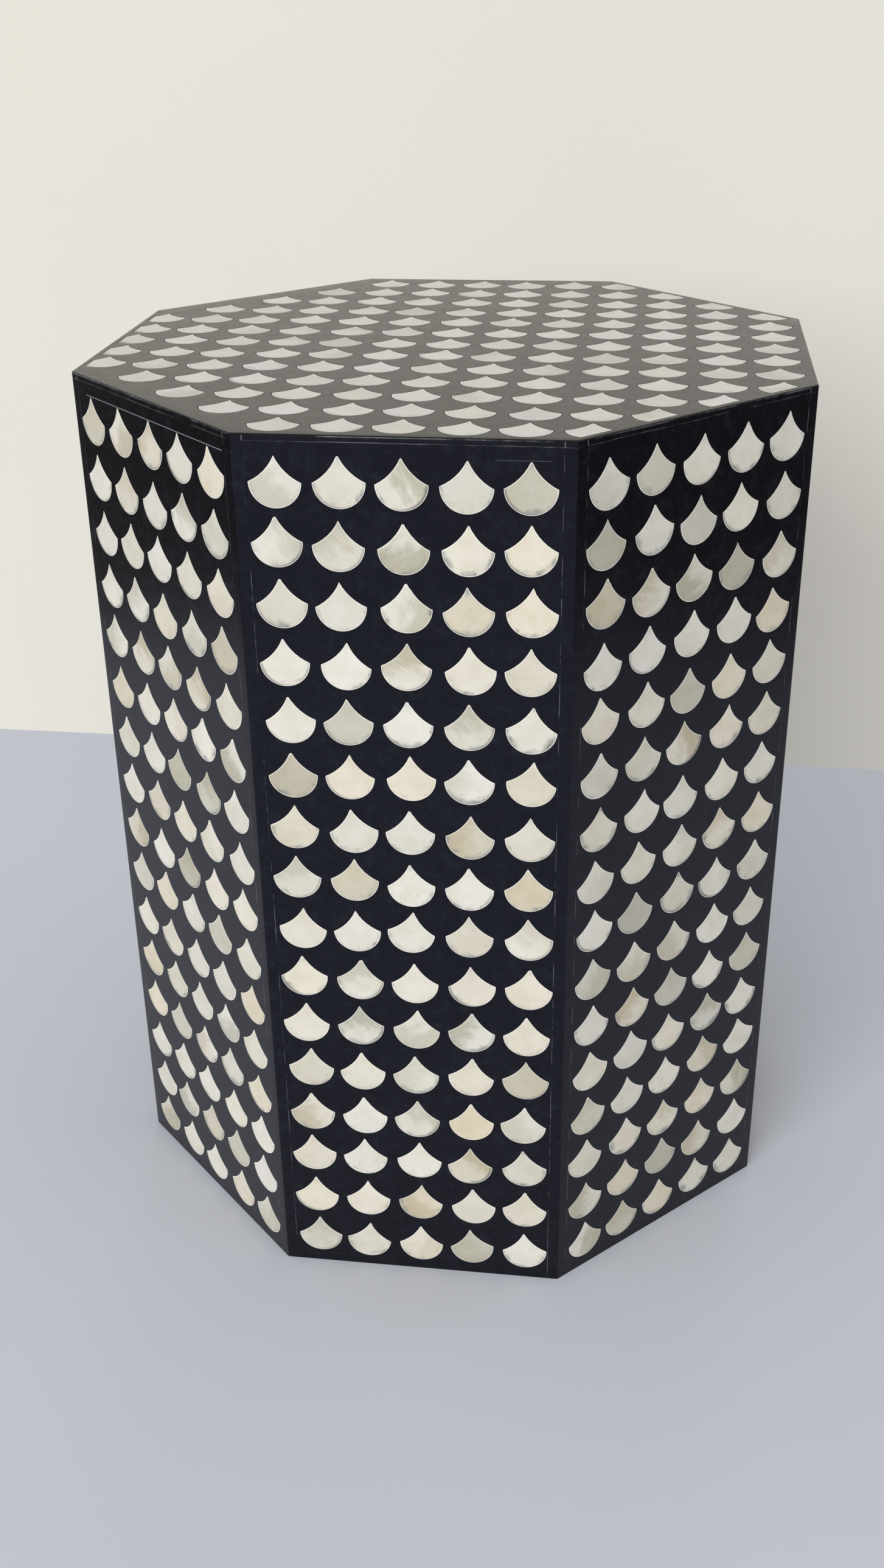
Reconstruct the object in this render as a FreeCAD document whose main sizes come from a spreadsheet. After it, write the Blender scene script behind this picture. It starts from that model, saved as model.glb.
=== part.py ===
import FreeCAD, Part
import math
import os
import random

import Sketcher
from FreeCAD import Placement, Rotation, Vector

# An eight-sided drum side table. A mitred fibreboard drum, closed by a top board and a base board, carries
# a thin skin of black resin, and bone scales are laid by hand in that skin.
# The origin is on the floor under the middle of the drum, +Z is up, and wall 1 faces -Y.
# The walls are numbered anticlockwise as seen from above, and corner N lies between wall N and the next.

SIZES = {
    # The drum as a whole
    "across_flats": 355.6,
    "overall_height": 457.2,
    # The carcass
    "wall_thickness": 12.0,
    "top_board_thickness": 18.0,
    "base_board_thickness": 12.0,
    "base_recess": 4.0,
    "base_clearance": 0.4,
    # The loose tongues in the mitres
    "spline_width": 12.0,
    "spline_thickness": 3.0,
    "spline_setback": 2.0,
    "spline_clearance": 0.1,
    # The glue blocks in the inner corners
    "block_leg": 30.0,
    "block_side": 12.0,
    # The countersunk wood screws
    "screw_length": 38.0,
    "screw_diameter": 4.0,
    "screw_head_diameter": 8.0,
    "screw_tip_length": 5.0,
    "screw_clearance": 0.1,
    "pilot_spare_depth": 2.0,
    # The resin skin
    "inlay_thickness": 3.0,
    "corner_strip_leg": 5.4,
    "corner_rounding": 1.2,
    "top_edge_rounding": 0.8,
    # The bone scales: a half circle below two hollow arcs that run up to a narrow blunt tip
    "scale_width": 24.0,
    "scale_height": 23.6,
    "scale_hollow_radius": 23.0,
    "scale_tip_width": 1.0,
    # How the scales are laid out: plain borders, and the least gaps between neighbours
    "wall_top_border": 5.0,
    "wall_bottom_border": 5.0,
    "top_border": 3.2,
    "column_gap": 3.5,
    "row_gap": 3.3,
    # How unevenly the hand laid and cut them
    "lay_wander": 0.5,
    "lay_turn": 3.0,
    "cut_short": 0.5,
}

SIDES = 8
TURN = 360 / SIDES
HALF = f"{TURN / 2} deg"

# A wander is drawn from a bell curve and kept within this many times its usual size.
WANDER_LIMIT = 2

# The tips are filed by eye, so their width varies by up to this share of itself.
TIP_SPREAD = 0.7

# On the top, a scale is laid where at least the whole share of it still fits inside the border, cut to the
# border where it has to be. On the right-hand half smaller offcuts are laid too, down to the offcut share.
WHOLE_SHARE = 0.6
OFFCUT_SHARE = 0.2

doc = FreeCAD.newDocument("drum_side_table")
subparts = []


# The sheet of sizes

def make_sheet():
    sheet = doc.addObject("Spreadsheet::Sheet", "Sizes")
    for row, (alias, value) in enumerate(SIZES.items(), start=1):
        sheet.set(f"A{row}", alias)
        sheet.set(f"B{row}", str(value))
        sheet.setAlias(f"B{row}", alias)
    doc.recompute()
    return sheet


sizes = make_sheet()

# Sizes worked out from the sheet, as expressions. A radius across the flats is the distance from the
# drum's axis to a face, and a corner radius is the distance to where two such faces meet.

SKIN_FACE = "(Sizes.across_flats / 2)"
BOARD_FACE = "(Sizes.across_flats / 2 - Sizes.inlay_thickness)"
INNER_FACE = f"({BOARD_FACE} - Sizes.wall_thickness)"
BASE_FACE = f"({INNER_FACE} - Sizes.base_clearance)"

SKIN_CORNER = f"({SKIN_FACE} / cos({HALF}))"
BOARD_CORNER = f"({BOARD_FACE} / cos({HALF}))"
INNER_CORNER = f"({INNER_FACE} / cos({HALF}))"

HALF_FIELD = f"({SKIN_CORNER} * sin({HALF}) - Sizes.corner_strip_leg)"

SKIN_TOP = "(Sizes.overall_height - Sizes.inlay_thickness)"
WALL_TOP = f"({SKIN_TOP} - Sizes.top_board_thickness)"
BASE_TOP = "(Sizes.base_recess + Sizes.base_board_thickness)"

BLOCK_DEPTH = f"(Sizes.block_leg * sin({HALF}) + Sizes.block_side * cos({HALF}))"
SCREW_CIRCLE = f"({INNER_CORNER} - {BLOCK_DEPTH} / 2)"


def size_of(expression):
    """The number that an expression over the sheet comes to."""
    return float(sizes.evalExpression(expression))


# Helpers for bodies and sketches

def new_body(label):
    body = doc.addObject("PartDesign::Body", label)
    body.Label = label
    subparts.append(body)
    return body


def new_sketch(body, name, plane="XY_Plane"):
    sketch = body.newObject("Sketcher::SketchObject", f"{body.Label}_{name}")
    support = [feature for feature in body.Origin.OriginFeatures if feature.Role == plane]
    sketch.AttachmentSupport = [(support[0], "")]
    sketch.MapMode = "FlatFace"
    return sketch


def bind_point(sketch, line, x, y):
    """Ties the start of a line to the two expressions for its place."""
    for kind, expression in (("DistanceX", x), ("DistanceY", y)):
        index = sketch.addConstraint(Sketcher.Constraint(kind, line, 1, size_of(expression)))
        sketch.setExpression(f"Constraints[{index}]", expression)


def draw_polygon(sketch, corners):
    """Closes a polygon through corners that are given as pairs of expressions."""
    points = [Vector(size_of(x), size_of(y), 0) for x, y in corners]
    count = len(points)
    for index in range(count):
        sketch.addGeometry(Part.LineSegment(points[index], points[(index + 1) % count]), False)
    for index in range(count):
        sketch.addConstraint(Sketcher.Constraint("Coincident", index, 2, (index + 1) % count, 1))
    for index, (x, y) in enumerate(corners):
        bind_point(sketch, index, x, y)


def draw_circle(sketch, x, y, radius):
    """Draws a circle whose middle and radius are expressions."""
    middle = Vector(size_of(x), size_of(y), 0)
    circle = sketch.addGeometry(Part.Circle(middle, Vector(0, 0, 1), size_of(radius)), False)
    for kind, expression in (("DistanceX", x), ("DistanceY", y)):
        index = sketch.addConstraint(Sketcher.Constraint(kind, circle, 3, size_of(expression)))
        sketch.setExpression(f"Constraints[{index}]", expression)
    index = sketch.addConstraint(Sketcher.Constraint("Radius", circle, size_of(radius)))
    sketch.setExpression(f"Constraints[{index}]", radius)


def pad(body, sketch, length):
    feature = body.newObject("PartDesign::Pad", f"{body.Label}_pad")
    feature.Profile = sketch
    feature.setExpression("Length", length)
    doc.recompute()
    return feature


def cut_must_remove(body, name, before):
    """Stops where a cut has left the body as large as it was."""
    doc.recompute()
    if body.Shape.Volume >= before:
        raise RuntimeError(f"{name} cut nothing from {body.Label}")


def turned(degrees):
    return Placement(Vector(0, 0, 0), Rotation(Vector(0, 0, 1), degrees))


def wall_turn(number):
    return turned(TURN * (number - 1))


def corner_turn(number):
    return turned(TURN * (number - 0.5))


def ring_turn(flipped=False):
    """Turns a ring whose first corner is on +X into the drum, upside down if asked."""
    if flipped:
        return turned(TURN / 2).multiply(Placement(Vector(0, 0, 0), Rotation(Vector(1, 0, 0), 180)))
    return turned(TURN / 2)


def mirrored_in_y_axis(corners):
    """The same corners on the other side of the Y axis, in the opposite order."""
    return [(f"-({x})", y) for x, y in reversed(corners)]


def octagon(face):
    """Corners of the regular octagon whose faces lie at that distance, the first corner on +X."""
    corners = []
    for index in range(SIDES):
        angle = TURN * index
        corner = f"{face} / cos({HALF})"
        corners.append((f"{corner} * cos({angle} deg)", f"{corner} * sin({angle} deg)"))
    return corners


# The carcass

def wall_panel(number):
    """A board mitred at both ends, each mitre grooved for half of a loose tongue."""
    body = new_body(f"wall_panel_{number}")
    groove_near = "Sizes.spline_setback"
    groove_far = "(Sizes.spline_setback + Sizes.spline_thickness + 2 * Sizes.spline_clearance)"
    groove_depth = "(Sizes.spline_width / 2 + Sizes.spline_clearance)"

    def on_mitre(along, into):
        """A point that far out along the right-hand mitre and that deep into the board."""
        x = f"{INNER_CORNER} * sin({HALF}) + {along} * sin({HALF}) - {into} * cos({HALF})"
        y = f"-{INNER_FACE} - {along} * cos({HALF}) - {into} * sin({HALF})"
        return x, y

    right_end = [
        (f"{BOARD_CORNER} * sin({HALF})", f"-{BOARD_FACE}"),
        on_mitre(groove_far, "0"),
        on_mitre(groove_far, groove_depth),
        on_mitre(groove_near, groove_depth),
        on_mitre(groove_near, "0"),
        (f"{INNER_CORNER} * sin({HALF})", f"-{INNER_FACE}"),
    ]
    section = new_sketch(body, "section")
    draw_polygon(section, right_end + mirrored_in_y_axis(right_end))
    pad(body, section, WALL_TOP)
    body.Placement = wall_turn(number)


def mitre_spline(number):
    """A loose tongue of plywood, half in each of two mitred boards."""
    body = new_body(f"mitre_spline_{number}")
    inner = f"-({INNER_CORNER} + Sizes.spline_setback + Sizes.spline_clearance)"
    outer = f"({inner} - Sizes.spline_thickness)"
    right_side = [("Sizes.spline_width / 2", outer), ("Sizes.spline_width / 2", inner)]
    section = new_sketch(body, "section")
    draw_polygon(section, right_side + mirrored_in_y_axis(right_side))
    pad(body, section, WALL_TOP)
    body.Placement = corner_turn(number)


def corner_block(number):
    """A softwood block glued into an inner corner, which takes a screw at each end."""
    body = new_body(f"corner_block_{number}")
    leg_x = f"Sizes.block_leg * cos({HALF})"
    leg_y = f"Sizes.block_leg * sin({HALF})"
    right_side = [
        (leg_x, f"-{INNER_CORNER} + {leg_y}"),
        (
            f"{leg_x} - Sizes.block_side * sin({HALF})",
            f"-{INNER_CORNER} + {leg_y} + Sizes.block_side * cos({HALF})",
        ),
    ]
    apex = [("0", f"-{INNER_CORNER}")]
    length = f"({WALL_TOP} - {BASE_TOP})"
    section = new_sketch(body, "section")
    draw_polygon(section, apex + right_side + mirrored_in_y_axis(right_side))
    pad(body, section, length)

    into_block = "Sizes.screw_length + Sizes.pilot_spare_depth"
    for end, board, height in (
        ("lower", "Sizes.base_board_thickness", "0"),
        ("upper", "Sizes.top_board_thickness", length),
    ):
        before = body.Shape.Volume
        mouth = new_sketch(body, f"{end}_pilot")
        mouth.setExpression("AttachmentOffset.Base.z", height)
        draw_circle(mouth, "0", f"-{SCREW_CIRCLE}", "Sizes.screw_diameter / 2 + Sizes.screw_clearance")
        pilot = body.newObject("PartDesign::Pocket", f"{body.Label}_{end}_hole")
        pilot.Profile = mouth
        pilot.Reversed = end == "lower"
        pilot.setExpression("Length", f"{into_block} - {board}")
        cut_must_remove(body, f"{end} pilot hole", before)

    body.Placement = corner_turn(number)
    body.setExpression("Placement.Base.z", BASE_TOP)


def screw_profile(head, shank, depth):
    """Half of a countersunk outline, from the head's top down to that depth, beside the Y axis."""
    return [
        ("0", "0"),
        (head, "0"),
        (shank, f"-({head} - {shank})"),
        (shank, f"-({depth})"),
        ("0", f"-({depth})"),
    ]


def stand_on_screw_circle(sketch):
    """Moves an upright sketch so that its own upright axis passes through the first screw."""
    sketch.setExpression("AttachmentOffset.Base.x", SCREW_CIRCLE)


def around_the_drum(body, feature):
    """Repeats a feature at every corner."""
    pattern = body.newObject("PartDesign::PolarPattern", f"{body.Label}_pattern")
    pattern.Originals = [feature]
    axis = [item for item in body.Origin.OriginFeatures if item.Role == "Z_Axis"]
    pattern.Axis = (axis[0], [""])
    pattern.Angle = 360
    pattern.Occurrences = SIDES
    body.Tip = pattern
    doc.recompute()


HEAD_HOLE = "(Sizes.screw_head_diameter / 2 + Sizes.screw_clearance)"
SHANK_HOLE = "(Sizes.screw_diameter / 2 + Sizes.screw_clearance)"


def screwed_board(label, face, thickness):
    """An octagonal board with a countersunk hole over every glue block, heads on its upper face."""
    body = new_body(label)
    outline = new_sketch(body, "outline")
    draw_polygon(outline, octagon(face))
    pad(body, outline, thickness)
    before = body.Shape.Volume
    profile = new_sketch(body, "hole_profile", "XZ_Plane")
    stand_on_screw_circle(profile)
    profile.setExpression("AttachmentOffset.Base.y", thickness)
    draw_polygon(profile, screw_profile(HEAD_HOLE, SHANK_HOLE, f"{thickness} + Sizes.pilot_spare_depth"))
    hole = body.newObject("PartDesign::Groove", f"{label}_hole")
    hole.Profile = profile
    hole.ReferenceAxis = (profile, ["V_Axis"])
    hole.Angle = 360
    cut_must_remove(body, "screw hole", before)
    around_the_drum(body, hole)
    return body


def top_board():
    body = screwed_board("top_board", BOARD_FACE, "Sizes.top_board_thickness")
    body.Placement = ring_turn()
    body.setExpression("Placement.Base.z", WALL_TOP)


def base_board():
    """The same kind of board, turned over so that its screws go up into the blocks."""
    body = screwed_board("base_board", BASE_FACE, "Sizes.base_board_thickness")
    body.Placement = ring_turn(flipped=True)
    body.setExpression("Placement.Base.z", BASE_TOP)


def screws(label):
    """Eight countersunk wood screws in a ring, heads up, their tops at the height of the origin."""
    body = new_body(label)
    body.AllowCompound = True
    head = "Sizes.screw_head_diameter / 2"
    shank = "Sizes.screw_diameter / 2"
    profile = new_sketch(body, "profile", "XZ_Plane")
    stand_on_screw_circle(profile)
    outline = screw_profile(head, shank, "Sizes.screw_length - Sizes.screw_tip_length")
    outline[-1] = ("0", "-Sizes.screw_length")
    draw_polygon(profile, outline)
    screw = body.newObject("PartDesign::Revolution", f"{label}_screw")
    screw.Profile = profile
    screw.ReferenceAxis = (profile, ["V_Axis"])
    screw.Angle = 360
    doc.recompute()
    around_the_drum(body, screw)
    return body


def top_screws():
    body = screws("top_screws")
    body.Placement = ring_turn()
    body.setExpression("Placement.Base.z", SKIN_TOP)


def base_screws():
    body = screws("base_screws")
    body.Placement = ring_turn(flipped=True)
    body.setExpression("Placement.Base.z", "Sizes.base_recess")


# The resin skin at the corners

def corner_strip(number):
    """A V-shaped resin strip that wraps a corner of the drum, with its outer arris eased."""
    body = new_body(f"corner_strip_{number}")
    leg_x = f"Sizes.corner_strip_leg * cos({HALF})"
    leg_y = f"-{SKIN_CORNER} + Sizes.corner_strip_leg * sin({HALF})"
    right_side = [
        (leg_x, leg_y),
        (f"{leg_x} - Sizes.inlay_thickness * sin({HALF})", f"{leg_y} + Sizes.inlay_thickness * cos({HALF})"),
    ]
    outer = [("0", f"-{SKIN_CORNER}")]
    inner = [("0", f"-{BOARD_CORNER}")]
    section = new_sketch(body, "section")
    draw_polygon(section, outer + right_side + inner + mirrored_in_y_axis(right_side))
    strip = pad(body, section, SKIN_TOP)
    arris = max(
        range(len(strip.Shape.Edges)),
        key=lambda index: -strip.Shape.Edges[index].CenterOfMass.y,
    )
    easing = body.newObject("PartDesign::Fillet", f"{body.Label}_easing")
    easing.Base = (strip, [f"Edge{arris + 1}"])
    easing.setExpression("Radius", "Sizes.corner_rounding")
    doc.recompute()
    body.Placement = corner_turn(number)


# The bone scales, drawn flat: each is a round below and a tip above, placed by the middle of its round

def wander(rng, usual):
    """A hand's error of about that size, to either side."""
    return max(-WANDER_LIMIT, min(WANDER_LIMIT, rng.gauss(0, 1))) * usual


def scale_outline(x, y, turn, width, tip_width):
    """The closed outline of one scale in the XY plane, turned about the middle of its round."""
    half = width / 2
    half_tip = tip_width / 2
    rise = size_of("Sizes.scale_height") - size_of("Sizes.scale_width") / 2
    hollow = size_of("Sizes.scale_hollow_radius")
    run = half - half_tip
    chord = math.hypot(run, rise)
    sag = hollow - math.sqrt(hollow ** 2 - (chord / 2) ** 2)
    hollow_x = (half + half_tip) / 2 - sag * rise / chord
    hollow_y = rise / 2 - sag * run / chord
    left, bottom, right = Vector(-half, 0, 0), Vector(0, -half, 0), Vector(half, 0, 0)
    tip_right, tip_left = Vector(half_tip, rise, 0), Vector(-half_tip, rise, 0)
    edges = [
        Part.Arc(left, bottom, right).toShape(),
        Part.Arc(right, Vector(hollow_x, hollow_y, 0), tip_right).toShape(),
        Part.LineSegment(tip_right, tip_left).toShape(),
        Part.Arc(tip_left, Vector(-hollow_x, hollow_y, 0), left).toShape(),
    ]
    outline = Part.Wire(edges)
    outline.Placement = Placement(Vector(x, y, 0), Rotation(Vector(0, 0, 1), turn))
    return outline


def laid_scale(rng, x, y):
    """One scale cut and laid by hand near its place in the grid."""
    x += wander(rng, size_of("Sizes.lay_wander"))
    y += wander(rng, size_of("Sizes.lay_wander"))
    turn = wander(rng, size_of("Sizes.lay_turn"))
    width = size_of("Sizes.scale_width") - rng.random() * size_of("Sizes.cut_short")
    tip_width = size_of("Sizes.scale_tip_width") * (1 + TIP_SPREAD * rng.uniform(-1, 1))
    return scale_outline(x, y, turn, width, tip_width)


def spread(low, high, size, gap):
    """Starts of as many equal pieces as fit from low to high, spread out evenly to fill it."""
    count = max(1, math.floor((high - low + gap) / (size + gap)))
    if count == 1:
        return [(low + high - size) / 2]
    pitch = (high - low - size) / (count - 1)
    return [low + pitch * index for index in range(count)]


LAY_ROOM = WANDER_LIMIT * size_of("Sizes.lay_wander")
SCALE_ROUND = size_of("Sizes.scale_width") / 2


def wall_scales(number):
    """Outlines of the scales on one wall, in its own plane, with Y up from the floor."""
    rng = random.Random(number)
    half_field = size_of(HALF_FIELD)
    columns = spread(
        -half_field + LAY_ROOM,
        half_field - LAY_ROOM,
        size_of("Sizes.scale_width"),
        size_of("Sizes.column_gap"),
    )
    rows = spread(
        size_of("Sizes.wall_bottom_border") + LAY_ROOM,
        size_of(f"{SKIN_TOP} - Sizes.wall_top_border") - LAY_ROOM,
        size_of("Sizes.scale_height"),
        size_of("Sizes.row_gap"),
    )
    return [laid_scale(rng, x + SCALE_ROUND, y + SCALE_ROUND) for y in rows for x in columns]


def flat_octagon(face, rounding=0):
    """An octagon in the XY plane with its faces at that distance, its corners rounded if asked."""
    corners = []
    for index in range(SIDES):
        angle = math.radians(TURN * (index - 0.5) - 90)
        reach = face / math.cos(math.radians(TURN / 2))
        corners.append(Vector(reach * math.cos(angle), reach * math.sin(angle), 0))
    if rounding == 0:
        return Part.makePolygon(corners + corners[:1])
    cut_back = rounding * math.tan(math.radians(TURN / 2))
    edges = []
    for index, corner in enumerate(corners):
        before = corners[index - 1]
        after = corners[(index + 1) % SIDES]
        start = corner + (before - corner).normalize() * cut_back
        end = corner + (after - corner).normalize() * cut_back
        centre_gap = rounding / math.cos(math.radians(TURN / 2)) - rounding
        middle = corner - Vector(corner).normalize() * centre_gap
        next_start = after - (after - corner).normalize() * cut_back
        edges.append(Part.Arc(start, middle, end).toShape())
        edges.append(Part.LineSegment(end, next_start).toShape())
    return Part.Wire(edges)


def top_scales():
    """Outlines of the scales on the top, as seen from above, with the tips towards the back (+Y)."""
    rng = random.Random(SIDES + 1)
    border_face = size_of(f"{SKIN_FACE} - Sizes.top_border")
    border = Part.Face(flat_octagon(border_face))
    width = size_of("Sizes.scale_width")
    pitch = width + size_of("Sizes.column_gap")
    right_column = border_face - LAY_ROOM - SCALE_ROUND
    column_count = math.ceil((right_column + border_face) / pitch)
    rows = spread(
        -border_face + LAY_ROOM,
        border_face - LAY_ROOM,
        size_of("Sizes.scale_height"),
        size_of("Sizes.row_gap"),
    )
    outlines = []
    for y in rows:
        for column in range(column_count):
            x = right_column - pitch * column
            whole = Part.Face(laid_scale(rng, x, y + SCALE_ROUND))
            kept = whole.common(border)
            least = OFFCUT_SHARE if x > 0 else WHOLE_SHARE
            if kept.Area >= least * whole.Area:
                outlines.append(kept.Faces[0].OuterWire)
    return outlines


def new_feature(label, shape, placement):
    """A sub-part whose many separate outlines are laid by hand, and so are drawn here one by one."""
    feature = doc.addObject("Part::Feature", label)
    feature.Label = label
    feature.Shape = shape
    feature.Placement = placement
    subparts.append(feature)


def sheet_with_windows(border, windows, thickness):
    face = Part.makeFace([border] + windows, "Part::FaceMakerBullseye")
    return face.extrude(Vector(0, 0, thickness))


def bone_pieces(outlines, thickness):
    return Part.makeCompound([Part.Face(outline).extrude(Vector(0, 0, thickness)) for outline in outlines])


# The inlaid walls: a wall's plane is drawn flat, then stood up on the board's face

def inlaid_wall(number):
    thickness = size_of("Sizes.inlay_thickness")
    half_field = size_of(HALF_FIELD)
    field_top = size_of(SKIN_TOP)
    field = Part.makePolygon([
        Vector(-half_field, 0, 0),
        Vector(half_field, 0, 0),
        Vector(half_field, field_top, 0),
        Vector(-half_field, field_top, 0),
        Vector(-half_field, 0, 0),
    ])
    outlines = wall_scales(number)
    on_board = Placement(Vector(0, -size_of(BOARD_FACE), 0), Rotation(Vector(1, 0, 0), 90))
    placement = wall_turn(number).multiply(on_board)
    new_feature(f"resin_field_{number}", sheet_with_windows(field, outlines, thickness), placement)
    new_feature(f"bone_scales_wall_{number}", bone_pieces(outlines, thickness), placement)


# The inlaid top

def is_outside(point, face):
    """Whether a point lies beyond the octagon whose faces are at that distance."""
    angles = [math.radians(TURN * index - 90) for index in range(SIDES)]
    return max(point.x * math.cos(angle) + point.y * math.sin(angle) for angle in angles) > face


def inlaid_top():
    thickness = size_of("Sizes.inlay_thickness")
    face = size_of(SKIN_FACE)
    easing = size_of("Sizes.top_edge_rounding")
    outlines = top_scales()
    border = flat_octagon(face, size_of("Sizes.corner_rounding"))
    sheet = sheet_with_windows(border, outlines, thickness)
    in_border = face - size_of("Sizes.top_border") / 2
    rim = [
        edge
        for edge in sheet.Edges
        if edge.BoundBox.ZMin > thickness / 2 and is_outside(edge.CenterOfMass, in_border)
    ]
    placement = Placement(Vector(0, 0, size_of(SKIN_TOP)), Rotation())
    new_feature("resin_top", sheet.makeFillet(easing, rim), placement)
    new_feature("bone_scales_top", bone_pieces(outlines, thickness), placement)


# The whole drum

for place in range(1, SIDES + 1):
    wall_panel(place)
    mitre_spline(place)
    corner_block(place)
    corner_strip(place)
    inlaid_wall(place)
top_board()
base_board()
top_screws()
base_screws()
inlaid_top()
doc.recompute()

# Every object has to be sound before anything is written

for item in doc.Objects:
    if "Invalid" in item.State or "Error" in item.State:
        raise RuntimeError(f"{item.Label} failed: {item.State}")
for subpart in subparts:
    if subpart.Shape.isNull() or not subpart.Shape.isValid():
        raise RuntimeError(f"{subpart.Label} has no sound shape")

os.makedirs("parts", exist_ok=True)
for subpart in subparts:
    subpart.Shape.exportStep(f"parts/{subpart.Label}.step")
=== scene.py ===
import math
import random

import bmesh
import bpy
from mathutils import Matrix, Vector


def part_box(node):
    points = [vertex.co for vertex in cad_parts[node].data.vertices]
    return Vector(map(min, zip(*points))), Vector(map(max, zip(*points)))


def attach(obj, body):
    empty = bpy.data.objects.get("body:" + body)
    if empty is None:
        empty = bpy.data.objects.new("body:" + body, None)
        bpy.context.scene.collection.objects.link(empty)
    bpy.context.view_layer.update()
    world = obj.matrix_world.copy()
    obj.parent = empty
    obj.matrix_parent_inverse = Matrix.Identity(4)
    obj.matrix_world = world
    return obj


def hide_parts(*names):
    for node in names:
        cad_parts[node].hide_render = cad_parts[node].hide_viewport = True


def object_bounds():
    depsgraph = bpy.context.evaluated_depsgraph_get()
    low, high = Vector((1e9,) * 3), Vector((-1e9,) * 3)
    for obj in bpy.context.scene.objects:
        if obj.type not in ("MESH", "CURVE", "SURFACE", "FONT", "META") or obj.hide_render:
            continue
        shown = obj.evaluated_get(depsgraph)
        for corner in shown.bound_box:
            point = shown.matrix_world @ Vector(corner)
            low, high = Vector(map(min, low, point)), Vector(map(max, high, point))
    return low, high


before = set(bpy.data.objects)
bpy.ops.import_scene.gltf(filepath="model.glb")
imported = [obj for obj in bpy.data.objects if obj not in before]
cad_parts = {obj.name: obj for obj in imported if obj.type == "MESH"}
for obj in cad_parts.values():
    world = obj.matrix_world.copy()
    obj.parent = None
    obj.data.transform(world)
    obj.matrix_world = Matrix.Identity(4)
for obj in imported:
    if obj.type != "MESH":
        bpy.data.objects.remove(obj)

# An eight-sided drum side table: bone scales laid by hand in black resin over a board carcass.
# The frame is in metres. Wall 1 faces -Y, and the walls go round anticlockwise as seen from above.

CAD_BOX = [list(corner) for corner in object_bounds()]

MM = 0.001
SIDES = 8
TURN = math.tau / SIDES
UP = Vector((0, 0, 1))
TABLE_HALF = CAD_BOX[1][0]
TABLE_HEIGHT = CAD_BOX[1][2]
FIELD_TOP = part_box("resin_field_1")[1].z
HALF_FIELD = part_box("resin_field_1")[1].x

# The radius of the round end of a scale
SCALE_ROUND = 12 * MM

# Sockets of a Mix node that mixes colours, and the settings that make it mix or multiply them
COLOUR_A = 6
COLOUR_B = 7
COLOUR_OUT = 2
BLENDED = {"out": COLOUR_OUT, "data_type": "RGBA"}
MULTIPLIED = {"out": COLOUR_OUT, "data_type": "RGBA", "blend_type": "MULTIPLY"}


# Colours and nodes

def linear(hex_colour):
    """A linear RGBA colour from an sRGB hex value."""
    channels = []
    for start in (1, 3, 5):
        value = int(hex_colour[start:start + 2], 16) / 255
        channels.append(value / 12.92 if value <= 0.04045 else ((value + 0.055) / 1.055) ** 2.4)
    return (*channels, 1)


def add(tree, kind, inputs=None, out=0, stops=None, **settings):
    """Adds a node with its settings, its linked or constant inputs and the colour stops of a ramp, and
    gives back one of its outputs, or the node itself where out is None."""
    node = tree.nodes.new(kind)
    for name, value in settings.items():
        setattr(node, name, value)
    for key, value in (inputs or {}).items():
        if isinstance(value, bpy.types.NodeSocket):
            tree.links.new(value, node.inputs[key])
        else:
            node.inputs[key].default_value = value
    if stops:
        elements = node.color_ramp.elements
        while len(elements) < len(stops):
            elements.new(1)
        for element, (position, colour) in zip(elements, stops):
            element.position = position
            element.color = linear(colour)
    return node if out is None else node.outputs[out]


def new_material(name):
    """A material that holds only its shader and output, ready for a finish."""
    material = bpy.data.materials.new(name)
    material.use_nodes = True
    tree = material.node_tree
    tree.nodes.clear()
    shader = add(tree, "ShaderNodeBsdfPrincipled", out=None)
    add(tree, "ShaderNodeOutputMaterial", {"Surface": shader.outputs["BSDF"]}, out=None)
    return material, tree, shader


def dress(tree, shader, colour, roughness, normal=None):
    """Links the patterns of a finish to its shader."""
    tree.links.new(colour, shader.inputs["Base Color"])
    tree.links.new(roughness, shader.inputs["Roughness"])
    if normal:
        tree.links.new(normal, shader.inputs["Normal"])


def per_mm(*sizes):
    """How many times a pattern repeats in a metre, for a size in millimetres along each axis."""
    return tuple(1 / (size * MM) for size in sizes)


# Bone: sawn thin, set in the resin, sanded flush and buffed. It is smooth ivory, from cool white to warm
# cream, with faint clouds. Some pieces are veiled where the bone is thin, some are smoky along the rim with
# dark strokes in the smoke, some are stained brown along the lower round, some show pores, and many have a
# grey crescent along the round.

BONE_IOR = 1.54
BONE_SHINE = 0.22
CLOUD_SIZE = 11 * MM
WISP_SIZE = 7 * MM
STAIN_LENGTH = 5 * MM
STAIN_WIDTH = 1 * MM

# The streaks of the veil, the strokes in the smoke and the pores, in millimetres across the grain, along it
# and in depth. Through so thin a piece they hardly change.
VEIL_STREAK = (4.5, 13, 1000)
SMOKE_STROKE = (1.1, 5, 1000)
PORE = (0.35, 2.4, 1000)

# How far apart the patterns of two pieces can start: in metres, and for the stains in stain sizes
PATTERN_SPREAD = 5.0
STAIN_SPREAD = 90.0

# How far the bone is greyed by a painted sheen for the light that falls on the top, and the share of its
# eased edge that is pale, partly sanded bone and partly a painted highlight, above a black foot
WALL_PAINTED_SHEEN = 0.0
TOP_PAINTED_SHEEN = 0.55
PALE_HIGHLIGHT_SHARE = 0.57


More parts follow.
